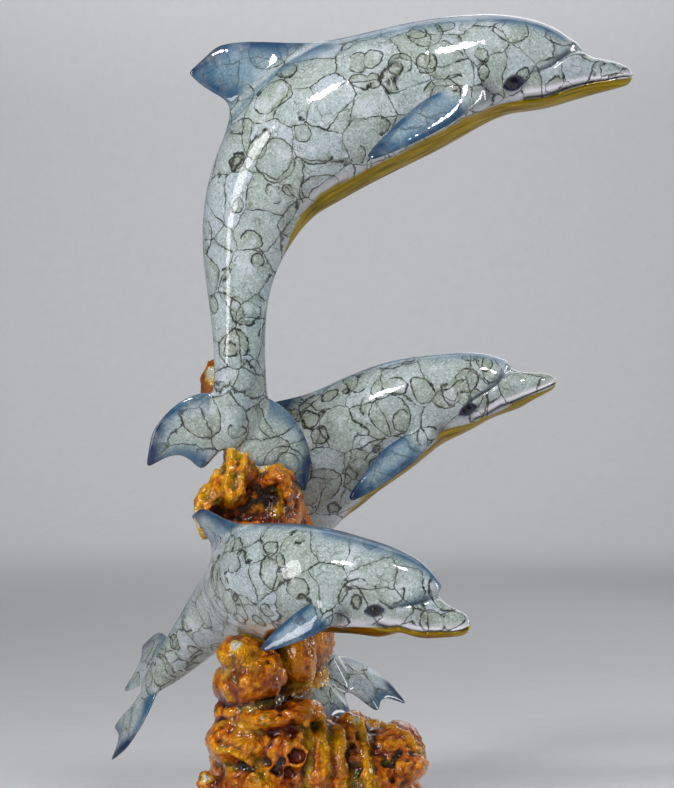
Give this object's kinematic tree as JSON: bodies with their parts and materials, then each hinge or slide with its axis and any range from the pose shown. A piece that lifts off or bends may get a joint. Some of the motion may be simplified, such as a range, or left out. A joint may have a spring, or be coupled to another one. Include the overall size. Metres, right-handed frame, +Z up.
{
  "type": "copper dolphin statue",
  "caption": "Cast copper statue of leaping dolphins fixed to a stem of coral, enamelled and lacquered, standing on the coral's flat foot.",
  "frame": {"origin": "middle of the coral's flat underside, where the statue stands", "axes": "+Z up, +X the way the top dolphin's beak points, +Y away from the side that the picture shows"},
  "size_m": [0.4158, 0.3131, 0.6614],
  "materials": {
    "crackled_enamel": "grey-white enamel with dark crackle, blue fins and gold belly, under thick gloss clear coat",
    "amber_lacquer": "glossy amber and brown lacquer over cast copper"
  },
  "bodies": {
    "root": {"top_dolphin": "crackled_enamel", "middle_dolphin": "crackled_enamel", "lower_dolphin": "crackled_enamel", "coral_stem": "amber_lacquer"}
  },
  "joints": []
}
